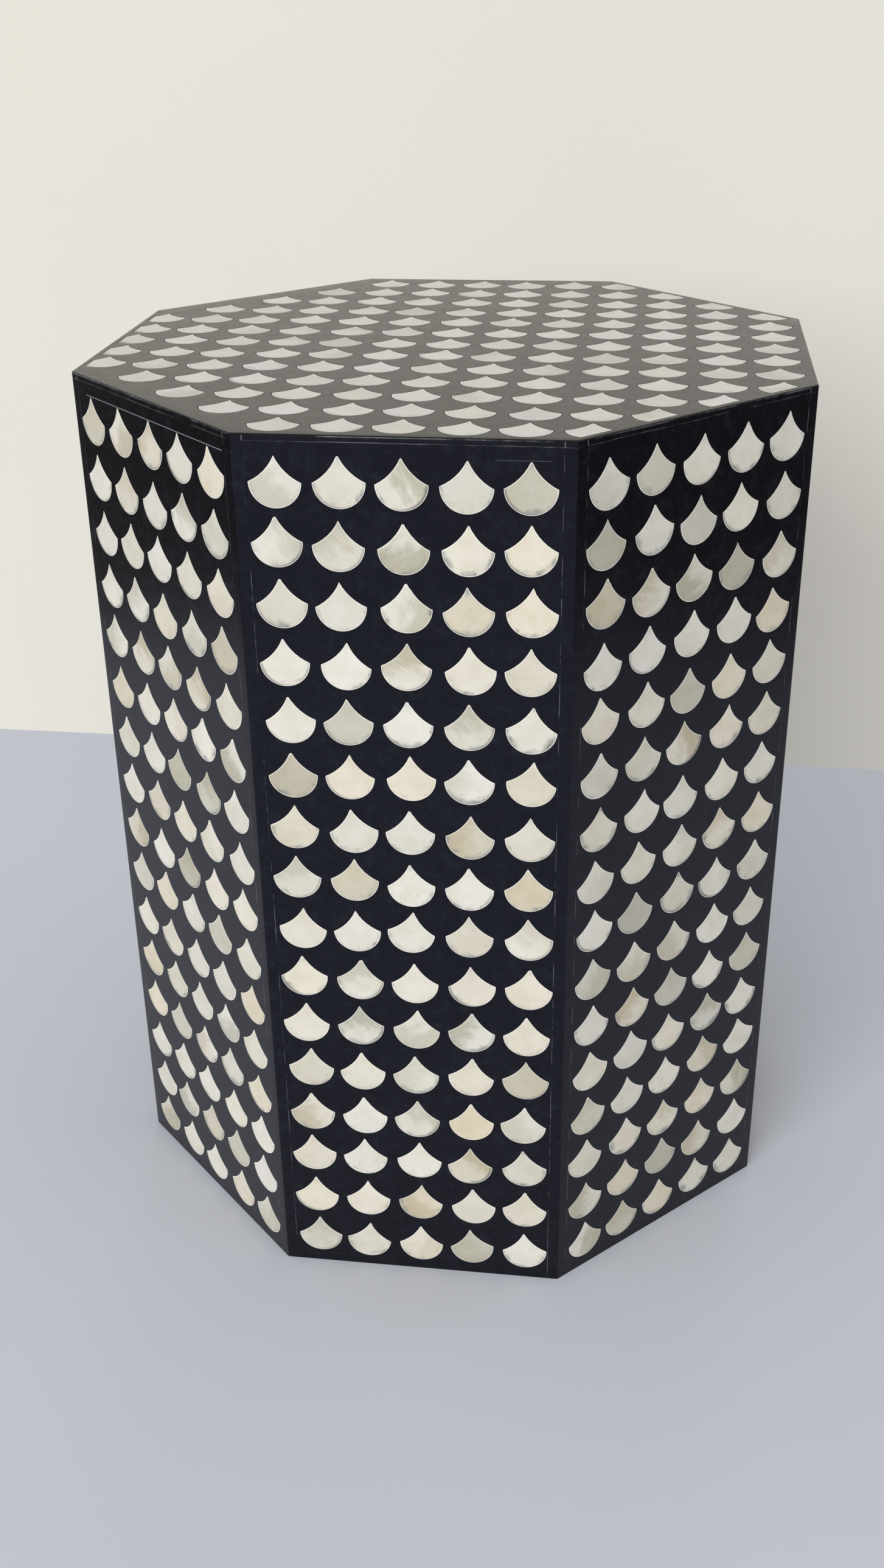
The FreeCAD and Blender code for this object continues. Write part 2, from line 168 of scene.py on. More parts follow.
def bone_lot(tree):
    """What each piece of bone drew: its place, where its pattern starts, how its grain runs, and two sets
    of three chances."""
    place = add(tree, "ShaderNodeAttribute", out="Vector", attribute_name="scale_place")
    chance = add(tree, "ShaderNodeAttribute", out="Vector", attribute_name="scale_chance")
    lot = add(tree, "ShaderNodeSeparateXYZ", {0: chance}, out=None).outputs
    more = add(tree, "ShaderNodeTexWhiteNoise", {"Vector": chance}, out="Color")
    luck = add(tree, "ShaderNodeSeparateXYZ", {0: more}, out=None).outputs
    start = add(tree, "ShaderNodeVectorMath", {0: chance, "Scale": PATTERN_SPREAD}, operation="SCALE")
    own = add(tree, "ShaderNodeVectorMath", {0: place, 1: start}, operation="ADD")
    angle = add(tree, "ShaderNodeMath", {0: lot["Z"], 1: math.pi}, operation="MULTIPLY")
    grain = add(tree, "ShaderNodeVectorRotate", {"Vector": own, "Angle": angle}, rotation_type="Z_AXIS")
    return place, own, grain, lot, luck


def bone_tone(tree, own, lot, luck):
    """The tone of a piece, cool or warm, with faint clouds."""
    tone = add(tree, "ShaderNodeValToRGB", {"Fac": lot["X"]}, stops=[
        (0.0, "#b8b5a8"),
        (0.04, "#c8c5b9"),
        (0.1, "#d4d1c7"),
        (0.22, "#dddad1"),
        (0.5, "#e4e1d9"),
        (1.0, "#eae7e0"),
    ])
    warm = add(tree, "ShaderNodeValToRGB", {"Fac": luck["Z"]}, stops=[
        (0.0, "#ffffff"),
        (0.55, "#fefdf8"),
        (0.85, "#fdf8eb"),
        (1.0, "#f9efd9"),
    ])
    colour = add(tree, "ShaderNodeMix", {0: 1.0, COLOUR_A: tone, COLOUR_B: warm}, **MULTIPLIED)
    clouds = add(
        tree, "ShaderNodeTexNoise",
        {"Vector": own, "Scale": 1 / CLOUD_SIZE, "Detail": 5.0, "Roughness": 0.6},
    )
    shade = add(tree, "ShaderNodeValToRGB", {"Fac": clouds}, stops=[(0.3, "#f3f2ed"), (0.62, "#ffffff")])
    colour = add(tree, "ShaderNodeMix", {0: 1.0, COLOUR_A: colour, COLOUR_B: shade}, **MULTIPLIED)
    return colour, clouds


def bone_veil(tree, colour, grain, place, lot, luck):
    """A veil, streaked along the grain and thicker to one side, over the pieces that drew a high chance.
    It is grey-green or, on warm pieces, tan. Some pieces have a grey tip."""
    angle = add(tree, "ShaderNodeMath", {0: lot["Z"], 1: math.tau}, operation="MULTIPLY")
    turned = add(tree, "ShaderNodeVectorRotate", {"Vector": place, "Angle": angle}, rotation_type="Z_AXIS")
    sideways = add(tree, "ShaderNodeSeparateXYZ", {0: turned}, out="X")
    along = add(tree, "ShaderNodeVectorMath", {0: grain, 1: per_mm(*VEIL_STREAK)}, operation="MULTIPLY")
    mottle = add(
        tree, "ShaderNodeTexNoise", {"Vector": along, "Scale": 1.0, "Detail": 5.0, "Roughness": 0.68},
    )
    lean = add(
        tree, "ShaderNodeMath", {0: sideways, 1: 0.4 / SCALE_ROUND, 2: mottle}, operation="MULTIPLY_ADD",
    )
    patches = add(
        tree, "ShaderNodeMapRange", {"Value": lean, "From Min": 0.3, "From Max": 0.7, "To Min": 0.12},
        interpolation_type="SMOOTHSTEP",
    )
    strength_by_lot = add(tree, "ShaderNodeMapRange", {"Value": lot["Y"], "From Min": 0.64, "To Max": 0.85})
    veil = add(tree, "ShaderNodeMath", {0: patches, 1: strength_by_lot}, operation="MULTIPLY")
    veil_tone = add(tree, "ShaderNodeValToRGB", {"Fac": luck["Z"]}, stops=[
        (0.4, "#a9a894"),
        (0.7, "#bcab8a"),
    ])
    colour = add(tree, "ShaderNodeMix", {0: veil, COLOUR_A: colour, COLOUR_B: veil_tone}, **BLENDED)
    height = add(tree, "ShaderNodeSeparateXYZ", {0: place}, out="Y")
    tip = add(tree, "ShaderNodeMapRange", {"Value": height, "From Min": 5 * MM, "From Max": 14 * MM})
    grey_tip = add(tree, "ShaderNodeMapRange", {"Value": lot["Z"], "From Min": 0.6, "To Max": 0.7})
    tip_veil = add(tree, "ShaderNodeMath", {0: tip, 1: grey_tip}, operation="MULTIPLY")
    return add(tree, "ShaderNodeMix", {0: tip_veil, COLOUR_A: colour, COLOUR_B: linear("#b3b3a9")}, **BLENDED)


def bone_smoke(tree, colour, own, grain, place, luck):
    """Blue-grey smoke along the rim of some pieces, with dark strokes about a millimetre wide in it."""
    reach = add(tree, "ShaderNodeVectorMath", {0: place}, out="Value", operation="LENGTH")
    by_rim = add(
        tree, "ShaderNodeMapRange",
        {"Value": reach, "From Min": 0.5 * SCALE_ROUND, "From Max": 1.05 * SCALE_ROUND, "To Max": 0.55},
    )
    wisps = add(tree, "ShaderNodeTexNoise", {"Vector": own, "Scale": 1 / WISP_SIZE, "Detail": 4.0})
    smoky = add(tree, "ShaderNodeMapRange", {"Value": luck["X"], "To Min": -0.2, "To Max": 0.12})
    level = add(tree, "ShaderNodeMath", {0: wisps, 1: by_rim}, operation="ADD")
    level = add(tree, "ShaderNodeMath", {0: level, 1: smoky}, operation="ADD")
    smoke = add(
        tree, "ShaderNodeMapRange", {"Value": level, "From Min": 0.84, "From Max": 1.12, "To Max": 0.9},
        interpolation_type="SMOOTHSTEP",
    )
    colour = add(tree, "ShaderNodeMix", {0: smoke, COLOUR_A: colour, COLOUR_B: linear("#93968f")}, **BLENDED)
    along = add(tree, "ShaderNodeVectorMath", {0: grain, 1: per_mm(*SMOKE_STROKE)}, operation="MULTIPLY")
    lines = add(tree, "ShaderNodeTexNoise", {"Vector": along, "Scale": 1.0, "Detail": 2.0})
    strokes = add(tree, "ShaderNodeMapRange", {"Value": lines, "From Min": 0.6, "From Max": 0.72})
    in_smoke = add(tree, "ShaderNodeMath", {0: strokes, 1: smoke}, operation="MULTIPLY")
    return add(tree, "ShaderNodeMix", {0: in_smoke, COLOUR_A: colour, COLOUR_B: linear("#4f4a3d")}, **BLENDED)


def bone_stain(tree, colour, place, luck):
    """Brown stains, drawn out along the lower round of up to half the pieces."""
    x, y = add(tree, "ShaderNodeSeparateXYZ", {0: place}, out=None).outputs[:2]
    angle = add(tree, "ShaderNodeMath", {0: y, 1: x}, operation="ARCTAN2")
    reach = add(tree, "ShaderNodeVectorMath", {0: place}, out="Value", operation="LENGTH")
    along = add(tree, "ShaderNodeMath", {0: angle, 1: SCALE_ROUND / STAIN_LENGTH}, operation="MULTIPLY")
    inward = add(tree, "ShaderNodeMath", {0: reach, 1: STAIN_WIDTH}, operation="DIVIDE")
    start = add(tree, "ShaderNodeMath", {0: luck["Y"], 1: STAIN_SPREAD}, operation="MULTIPLY")
    where = add(tree, "ShaderNodeCombineXYZ", {"X": along, "Y": inward, "Z": start})
    noise = add(tree, "ShaderNodeTexNoise", {"Vector": where, "Scale": 1.0, "Detail": 3.0})
    strokes = add(tree, "ShaderNodeMapRange", {"Value": noise, "From Min": 0.56, "From Max": 0.7})
    by_rim = add(
        tree, "ShaderNodeMapRange",
        {"Value": reach, "From Min": 0.68 * SCALE_ROUND, "From Max": 0.92 * SCALE_ROUND},
    )
    low = add(tree, "ShaderNodeMapRange", {"Value": y, "From Min": 0.0, "From Max": -4 * MM})
    how_stained = add(tree, "ShaderNodeMapRange", {"Value": luck["Y"], "From Min": 0.52, "From Max": 0.15})
    shown = add(tree, "ShaderNodeMath", {0: strokes, 1: by_rim}, operation="MULTIPLY")
    shown = add(tree, "ShaderNodeMath", {0: shown, 1: low}, operation="MULTIPLY")
    shown = add(tree, "ShaderNodeMath", {0: shown, 1: how_stained}, operation="MULTIPLY")
    return add(tree, "ShaderNodeMix", {0: shown, COLOUR_A: colour, COLOUR_B: linear("#6a5f4f")}, **BLENDED)


def bone_pores(tree, colour, grain, luck):
    """Fine pores along the grain, on fewer than a third of the pieces."""
    along = add(tree, "ShaderNodeVectorMath", {0: grain, 1: per_mm(*PORE)}, operation="MULTIPLY")
    noise = add(tree, "ShaderNodeTexNoise", {"Vector": along, "Scale": 1.0, "Detail": 1.0})
    pores = add(tree, "ShaderNodeMapRange", {"Value": noise, "From Min": 0.64, "From Max": 0.76})
    how_open = add(tree, "ShaderNodeMapRange", {"Value": luck["Y"], "From Min": 0.7, "To Max": 0.6})
    shown = add(tree, "ShaderNodeMath", {0: pores, 1: how_open}, operation="MULTIPLY")
    colour = add(tree, "ShaderNodeMix", {0: shown, COLOUR_A: colour, COLOUR_B: linear("#7f7a6a")}, **BLENDED)
    return colour, noise


def bone_edge(tree, colour, place, lot):
    """A grey crescent along the lower round, shifted to one side, on some pieces; then the eased edge: pale,
    partly sanded bone and partly a painted highlight, with a black foot."""
    # The crescent darkens the lower round of some pieces, shifted sideways by each piece's lot.
    side = add(tree, "ShaderNodeMath", {0: lot["Y"], 1: 0.5}, operation="SUBTRACT")
    crescent_side = add(tree, "ShaderNodeCombineXYZ", {"X": side, "Y": -0.3})
    shift = add(tree, "ShaderNodeVectorMath", {0: crescent_side, "Scale": 3 * MM}, operation="SCALE")
    moved = add(tree, "ShaderNodeVectorMath", {0: place, 1: shift}, operation="ADD")
    reach = add(tree, "ShaderNodeVectorMath", {0: moved}, out="Value", operation="LENGTH")
    crescent = add(
        tree, "ShaderNodeMapRange",
        {"Value": reach, "From Min": 0.95 * SCALE_ROUND, "From Max": 1.06 * SCALE_ROUND},
        interpolation_type="SMOOTHSTEP",
    )
    strength_by_lot = add(tree, "ShaderNodeMapRange", {"Value": lot["Z"], "From Min": 0.35, "From Max": 0.95})
    crescent_shown = add(tree, "ShaderNodeMath", {0: crescent, 1: strength_by_lot}, operation="MULTIPLY")
    colour = add(tree, "ShaderNodeMix", {0: crescent_shown, COLOUR_A: colour, COLOUR_B: linear("#77766e")}, **BLENDED)
    rim = add(tree, "ShaderNodeAttribute", out="Fac", attribute_name="scale_rim")
    # Pale eased edge: partly sanded bone, partly a painted highlight, the same on every side of the piece.
    pale = add(tree, "ShaderNodeMapRange", {"Value": rim, "From Max": 0.35, "To Max": 0.75})
    colour = add(tree, "ShaderNodeMix", {0: pale, COLOUR_A: colour, COLOUR_B: linear("#f6f3eb")}, **BLENDED)
    foot = add(
        tree, "ShaderNodeMapRange", {"Value": rim, "From Min": PALE_HIGHLIGHT_SHARE, "From Max": PALE_HIGHLIGHT_SHARE + 0.1},
    )
    colour = add(tree, "ShaderNodeMix", {0: foot, COLOUR_A: colour, COLOUR_B: linear("#08070a")}, **BLENDED)
    return colour, foot


def polished_bone(name, painted_sheen):
    """Bone, greyed as much as asked by a painted sheen for the light that falls on it, buffed smooth and dull
    only at its foot.
    """
    material, tree, shader = new_material(name)
    place, own, grain, lot, luck = bone_lot(tree)
    colour, clouds = bone_tone(tree, own, lot, luck)
    colour = bone_veil(tree, colour, grain, place, lot, luck)
    colour = bone_smoke(tree, colour, own, grain, place, luck)
    colour = bone_stain(tree, colour, place, luck)
    colour, pores = bone_pores(tree, colour, grain, luck)
    # Painted sheen: the bone of the top is greyed towards a pale grey for how light falls on it; the walls
    # get none.
    colour = add(tree, "ShaderNodeMix", {0: painted_sheen, COLOUR_A: colour, COLOUR_B: linear("#cfcfcc")}, **BLENDED)
    colour, foot = bone_edge(tree, colour, place, lot)
    buffed = add(
        tree, "ShaderNodeMapRange",
        {"Value": clouds, "From Min": 0.3, "From Max": 0.7, "To Min": 0.46, "To Max": 0.34},
    )
    bump = add(tree, "ShaderNodeBump", {"Strength": 0.3, "Distance": 0.03 * MM, "Height": pores}, invert=True)
    dull_foot = add(tree, "ShaderNodeMapRange", {"Value": foot, "To Min": buffed, "To Max": 0.95})
    dress(tree, shader, colour, dull_foot, bump)
    shader.inputs["IOR"].default_value = BONE_IOR
    shader.inputs["Specular IOR Level"].default_value = BONE_SHINE
    return material


# Resin: black polyester, cast round the bone, sanded with fine paper and waxed. It is blue-black and satin,
# with a mottled haze, fine sanding lines, specks of dust, and pale wax left in its seams. Its polish carries
# a painted reflection tint, and a painted highlight runs along the top's edge.

RESIN_IOR = 1.5
HAZE_SIZE = 6 * MM
DUST_SPACING = 11 * MM

# The walls and the top: how bright the polish is and its painted reflection tint, the colour of the
# surroundings it mirrors, the blacks and the roughness from clear to hazy, and the sizes of the sanding lines
# along each axis, in millimetres
WALL_SHINE = 0.37
WALL_PAINTED_REFLECTION_TINT = "#dfe3ff"
WALL_BLACKS = ("#010102", "#050509", "#181920")
WALL_SATIN = (0.24, 0.32)
WALL_LINES = (0.7, 60, 5)
TOP_SHINE = 0.35
TOP_PAINTED_REFLECTION_TINT = "#fff0d0"
TOP_BLACKS = ("#040507", "#090a0c", "#161617")
TOP_SATIN = (0.2, 0.32)
TOP_LINES = (9, 0.9, 9)

# Lines scribed to set out the first row of scales: the stretch of each wall, from its middle, that still
# shows, and how strongly. Another line, near the floor, shows here and there on every wall.
SCRIBED_HEIGHT = TABLE_HEIGHT - 9 * MM
SCRIBED_WIDTH = 0.4 * MM
SCRIBED = {
    1: (40 * MM, 63 * MM, 0.15),
    4: (-62 * MM, -12 * MM, 0.5),
    6: (10 * MM, 60 * MM, 0.4),
    8: (-60 * MM, 67 * MM, 0.8),
}
UNSCRIBED = (0, 0, 0)
LOW_SCRIBED_HEIGHT = 5.5 * MM

# Wax left in seams, and a painted highlight on the top's edge: the width of each line, about how long its
# stretches are, and a level that keeps fewer of them the higher it is. The painted highlight lies low on the
# rounding of the top's edge, and seams cross the edge below that.
UPRIGHT_SEAM = {"width": 0.55 * MM, "length": 16 * MM, "least": 0.48}
TOP_SEAM = {"width": 0.4 * MM, "length": 24 * MM, "least": 0.46}
LOW_LINE = {"width": 0.3 * MM, "length": 26 * MM, "least": 0.56}
PAINTED_EDGE_HIGHLIGHT = {"width": 0.5 * MM, "length": 24 * MM, "least": 0.46}
CROSSING_WIDTH = 0.4 * MM
PAINTED_HIGHLIGHT_HEIGHT = TABLE_HEIGHT - 0.7 * MM
CROSSING_TOP = TABLE_HEIGHT - 0.8 * MM

# How much of the wax shows, and on the top how much of the painted highlight
UPRIGHT_WAX = 0.65
LEVEL_WAX = 0.4
TOP_WAX_AND_PAINTED_HIGHLIGHT = 0.5


def near(tree, value, target, width):
    """1 where a value is within half that width of its target, fading out just past it."""
    gap = add(tree, "ShaderNodeMath", {0: value, 1: target}, operation="SUBTRACT")
    size = add(tree, "ShaderNodeMath", {0: gap}, operation="ABSOLUTE")
    return add(tree, "ShaderNodeMapRange", {"Value": size, "From Min": 0.6 * width, "From Max": 0.4 * width})


def waxed_line(tree, where, value, target, width, length, least):
    """A line of wax where a value is near its target, broken into uneven stretches."""
    line = near(tree, value, target, width)
    noise = add(
        tree, "ShaderNodeTexNoise", {"Vector": where, "Scale": 1 / length, "Detail": 6.0, "Roughness": 0.7},
    )
    kept = add(tree, "ShaderNodeMapRange", {"Value": noise, "From Min": least, "From Max": least + 0.2})
    return add(tree, "ShaderNodeMath", {0: line, 1: kept}, operation="MULTIPLY")


def resin_body(tree, where, line_sizes, blacks):
    """The black of the resin, with haze in patches down to a fraction of a millimetre, sanding lines and
    dust. The lines are finer than a pixel, so they are drawn as wide as it takes to show."""
    haze = add(
        tree, "ShaderNodeTexNoise",
        {"Vector": where, "Scale": 1 / HAZE_SIZE, "Detail": 5.0, "Roughness": 0.75},
    )
    clear, mottled, hazy = blacks
    colour = add(tree, "ShaderNodeValToRGB", {"Fac": haze}, stops=[
        (0.36, clear),
        (0.54, mottled),
        (0.72, hazy),
    ])
    line_place = add(tree, "ShaderNodeVectorMath", {0: where, 1: per_mm(*line_sizes)}, operation="MULTIPLY")
    lines = add(tree, "ShaderNodeTexNoise", {"Vector": line_place, "Scale": 1.0, "Detail": 2.0})
    scratched = add(
        tree, "ShaderNodeMapRange", {"Value": lines, "From Min": 0.58, "From Max": 0.85, "To Max": 0.25},
    )
    colour = add(
        tree, "ShaderNodeMix", {0: scratched, COLOUR_A: colour, COLOUR_B: linear("#20222a")}, **BLENDED,
    )
    dust = add(tree, "ShaderNodeTexVoronoi", {"Vector": where, "Scale": 1 / DUST_SPACING}, out="Distance")
    specks = add(
        tree, "ShaderNodeMapRange", {"Value": dust, "From Min": 0.02, "From Max": 0.012, "To Max": 0.4},
    )
    colour = add(tree, "ShaderNodeMix", {0: specks, COLOUR_A: colour, COLOUR_B: linear("#7d7f86")}, **BLENDED)
    return colour, haze, lines


def resin_finish(tree, shader, where, wax, shine, painted_reflection_tint, line_sizes, satin, blacks):
    """Joins the body of the resin, the wax in its seams, its satin and its shine."""
    colour, haze, lines = resin_body(tree, where, line_sizes, blacks)
    # On the top this pale mix carries the painted highlight along the edge as well as the wax.
    colour = add(tree, "ShaderNodeMix", {0: wax, COLOUR_A: colour, COLOUR_B: linear("#94969b")}, **BLENDED)
    smooth, rough = satin
    gloss = add(
        tree, "ShaderNodeMapRange",
        {"Value": haze, "From Min": 0.3, "From Max": 0.75, "To Min": smooth, "To Max": rough},
    )
    bump = add(tree, "ShaderNodeBump", {"Strength": 0.35, "Distance": 0.01 * MM, "Height": lines})
    dress(tree, shader, colour, gloss, bump)
    shader.inputs["IOR"].default_value = RESIN_IOR
    shader.inputs["Specular IOR Level"].default_value = shine
    # Painted reflection: the polish is tinted with the colour of the surroundings that it mirrors.
    shader.inputs["Specular Tint"].default_value = linear(painted_reflection_tint)


def wall_wax(tree, where):
    """Wax in the upright seams beside the corners, in the seam under the top, and in the scribed lines."""
    across, height = add(tree, "ShaderNodeSeparateXYZ", {0: where}, out=None).outputs[:2]
    marks = add(tree, "ShaderNodeAttribute", out="Vector", attribute_name="scribed_line")
    start, end, strength = add(tree, "ShaderNodeSeparateXYZ", {0: marks}, out=None).outputs
    from_middle = add(tree, "ShaderNodeMath", {0: across}, operation="ABSOLUTE")
    upright = waxed_line(tree, where, from_middle, HALF_FIELD, **UPRIGHT_SEAM)
    under_top = waxed_line(tree, where, height, FIELD_TOP, **TOP_SEAM)
    low = waxed_line(tree, where, height, LOW_SCRIBED_HEIGHT, **LOW_LINE)
    scribed = near(tree, height, SCRIBED_HEIGHT, SCRIBED_WIDTH)
    past_start = add(tree, "ShaderNodeMath", {0: across, 1: start}, operation="GREATER_THAN")
    before_end = add(tree, "ShaderNodeMath", {0: across, 1: end}, operation="LESS_THAN")
    for part in (past_start, before_end, strength):
        scribed = add(tree, "ShaderNodeMath", {0: scribed, 1: part}, operation="MULTIPLY")
    level = add(tree, "ShaderNodeMath", {0: under_top, 1: low}, operation="MAXIMUM")
    level = add(tree, "ShaderNodeMath", {0: level, 1: LEVEL_WAX}, operation="MULTIPLY")
    upright = add(tree, "ShaderNodeMath", {0: upright, 1: UPRIGHT_WAX}, operation="MULTIPLY")
    seams = add(tree, "ShaderNodeMath", {0: level, 1: upright}, operation="MAXIMUM")
    return add(tree, "ShaderNodeMath", {0: seams, 1: scribed}, operation="MAXIMUM")


def wall_resin():
    """The resin of the walls and corners, sanded up and down, in the wall's own coordinates."""
    material, tree, shader = new_material("sanded_black_resin_walls")
    where = add(tree, "ShaderNodeAttribute", out="Vector", attribute_name="wall_place")
    wax = wall_wax(tree, where)
    resin_finish(tree, shader, where, wax, WALL_SHINE, WALL_PAINTED_REFLECTION_TINT, WALL_LINES, WALL_SATIN, WALL_BLACKS)
    return material


def top_wax_and_painted_highlight(tree, where):
    """Wax under the edge of the top and where the corner seams cross the edge, with a painted highlight low
    on the edge's rounding.
    Those seams lie at the same distance from the middle of every wall, so the angle is folded onto one
    wall."""
    x, y, height = add(tree, "ShaderNodeSeparateXYZ", {0: where}, out=None).outputs
    angle = add(tree, "ShaderNodeMath", {0: y, 1: x}, operation="ARCTAN2")
    folded = add(tree, "ShaderNodeMath", {0: angle, 1: TURN / 2}, operation="PINGPONG")
    slope = add(tree, "ShaderNodeMath", {0: folded}, operation="TANGENT")
    across = add(tree, "ShaderNodeMath", {0: slope, 1: TABLE_HALF}, operation="MULTIPLY")
    on_edge = add(tree, "ShaderNodeMath", {0: height, 1: CROSSING_TOP}, operation="LESS_THAN")
    seam = near(tree, across, HALF_FIELD, CROSSING_WIDTH)
    crossings = add(tree, "ShaderNodeMath", {0: seam, 1: on_edge}, operation="MULTIPLY")
    edge = waxed_line(tree, where, height, FIELD_TOP, **TOP_SEAM)
    # Painted highlight: a pale broken line low on the rounding of the top's edge, where the light catches it.
    painted_highlight = waxed_line(tree, where, height, PAINTED_HIGHLIGHT_HEIGHT, **PAINTED_EDGE_HIGHLIGHT)
    wax = add(tree, "ShaderNodeMath", {0: edge, 1: crossings}, operation="MAXIMUM")
    wax = add(tree, "ShaderNodeMath", {0: wax, 1: painted_highlight}, operation="MAXIMUM")
    return add(tree, "ShaderNodeMath", {0: wax, 1: TOP_WAX_AND_PAINTED_HIGHLIGHT}, operation="MULTIPLY")


def top_resin(name, shine, painted_reflection_tint):
    """The resin of the top, with the shine and painted reflection tint that its polish has on the face or
    round the edge.
    """
    material, tree, shader = new_material(name)
    where = add(tree, "ShaderNodeTexCoord", out="Object")
    wax = top_wax_and_painted_highlight(tree, where)
    resin_finish(tree, shader, where, wax, shine, painted_reflection_tint, TOP_LINES, TOP_SATIN, TOP_BLACKS)
    return material


# The carcass

FIBRE_SIZE = 1.2 * MM
BOARD_PATCH = 40 * MM
ZINC_CLOUD = 3 * MM

# The figure of each wood, in millimetres along each axis, and how many rings its contrast spans
PLYWOOD_FIGURE = (260, 38, 4)
PLYWOOD_RINGS = 4
PINE_FIGURE = (16, 16, 420)
PINE_RINGS = 5
PORES_IN_FIGURE = 14.0


def raw_fibreboard():
    """Medium density fibreboard, sawn: a warm brown felt of fine fibres with darker flecks."""
    material, tree, shader = new_material("raw_fibreboard")
    where = add(tree, "ShaderNodeTexCoord", out="Object")
    fibres = add(tree, "ShaderNodeTexNoise", {"Vector": where, "Scale": 1 / FIBRE_SIZE, "Detail": 4.0})
    patches = add(tree, "ShaderNodeTexNoise", {"Vector": where, "Scale": 1 / BOARD_PATCH, "Detail": 2.0})
    felt = add(tree, "ShaderNodeValToRGB", {"Fac": fibres}, stops=[
        (0.3, "#6f5233"),
        (0.5, "#96744c"),
        (0.7, "#ad8b60"),
    ])
    shade = add(tree, "ShaderNodeValToRGB", {"Fac": patches}, stops=[(0.3, "#c9c2b8"), (0.7, "#ffffff")])
    colour = add(tree, "ShaderNodeMix", {0: 1.0, COLOUR_A: felt, COLOUR_B: shade}, **MULTIPLIED)
    dry = add(tree, "ShaderNodeMapRange", {"Value": fibres, "To Min": 0.7, "To Max": 0.95})
    bump = add(tree, "ShaderNodeBump", {"Strength": 0.5, "Distance": 0.1 * MM, "Height": fibres})
    dress(tree, shader, colour, dry, bump)
    return material


def bare_wood(name, figure_sizes, rings, pale, mid, dark):
    """Bare wood: soft rings of early and late wood, drawn out along the grain, with fine dark pores."""
    material, tree, shader = new_material(name)
    where = add(tree, "ShaderNodeTexCoord", out="Object")
    stretched = add(tree, "ShaderNodeVectorMath", {0: where, 1: per_mm(*figure_sizes)}, operation="MULTIPLY")
    figure = add(tree, "ShaderNodeTexNoise", {"Vector": stretched, "Scale": 1.0, "Detail": 3.0})
    phase = add(tree, "ShaderNodeMath", {0: figure, 1: rings * math.tau}, operation="MULTIPLY")
    waves = add(tree, "ShaderNodeMath", {0: phase}, operation="SINE")
    ring = add(tree, "ShaderNodeMapRange", {"Value": waves, "From Min": -1.0})
    wood = add(tree, "ShaderNodeValToRGB", {"Fac": ring}, stops=[(0.0, pale), (0.6, mid), (1.0, dark)])
    pores = add(tree, "ShaderNodeTexNoise", {"Vector": stretched, "Scale": PORES_IN_FIGURE, "Detail": 2.0})
    streaks = add(tree, "ShaderNodeValToRGB", {"Fac": pores}, stops=[(0.3, "#b9aa98"), (0.5, "#ffffff")])
    colour = add(tree, "ShaderNodeMix", {0: 0.8, COLOUR_A: wood, COLOUR_B: streaks}, **MULTIPLIED)
    bare = add(tree, "ShaderNodeMapRange", {"Value": pores, "To Min": 0.8, "To Max": 0.6})
    bump = add(tree, "ShaderNodeBump", {"Strength": 0.4, "Distance": 0.15 * MM, "Height": pores})
    dress(tree, shader, colour, bare, bump)
    return material


def hardwood_plywood():
    """Rotary-cut plywood: a broad wavy figure along X."""
    return bare_wood("hardwood_plywood", PLYWOOD_FIGURE, PLYWOOD_RINGS, "#c9a479", "#b98f62", "#a57b50")


def sawn_pine():
    """Sawn pine: pale yellow wood with straight reddish rings along Z."""
    return bare_wood("sawn_pine", PINE_FIGURE, PINE_RINGS, "#d8b583", "#cda271", "#b07f4c")


def zinc_plated_steel():
    """Steel screws, bright zinc plated: pale metal, a little yellowed and clouded by handling."""
    material, tree, shader = new_material("zinc_plated_steel")
    where = add(tree, "ShaderNodeTexCoord", out="Object")
    clouds = add(tree, "ShaderNodeTexNoise", {"Vector": where, "Scale": 1 / ZINC_CLOUD, "Detail": 3.0})
    plating = add(tree, "ShaderNodeValToRGB", {"Fac": clouds}, stops=[(0.35, "#a9a596"), (0.65, "#c9c9c4")])
    dull = add(tree, "ShaderNodeMapRange", {"Value": clouds, "To Min": 0.25, "To Max": 0.5})
    dress(tree, shader, plating, dull)
    shader.inputs["Metallic"].default_value = 1.0
    return material


def carcass():
    """The pieces of the frame that stay as they are get the finish of what they are made of."""
    fibreboard = raw_fibreboard()
    plywood = hardwood_plywood()
    finishes = {
        "wall_panel": fibreboard,
        "top_board": fibreboard,
        "base_board": plywood,
        "mitre_spline": plywood,
        "corner_block": sawn_pine(),
        "screws": zinc_plated_steel(),
    }
    for name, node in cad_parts.items():
        for kind, material in finishes.items():
            if kind in name:
                node.data.materials.clear()
                node.data.materials.append(material)


# Pieces of the inlay, copied from the frame and worked over

# How close the corners of loose triangles are joined, and how small a turn between faces is smoothed away
JOINED_WITHIN = 0.001 * MM
FLAT_WITHIN = math.radians(0.5)

# The edge of each bone scale is eased where it was sanded flush with the resin. At a narrow tip the two
# sides of that edge run together.
EASED_WIDTH = 0.7 * MM
TOP_EASED_WIDTH = 1.0 * MM
EASED_DEPTH = 0.08 * MM
TIP_JOIN = 0.9 * MM

# How squarely the face of a scale faces out, and the face of the top faces up
FACING_OUT = 0.99
FACING_UP = 0.6

# Creases sharper than these angles, in degrees, stay sharp. The eased edge of a scale slopes by more than
# its own.
SCALE_CREASE = 4
RESIN_CREASE = 25


def wall_axes(number):
    """The direction across a wall, as seen from outside, and the direction out of it."""
    angle = TURN * (number - 1)
    across = Vector((math.cos(angle), math.sin(angle), 0))
    out = Vector((math.sin(angle), -math.cos(angle), 0))
    return across, out


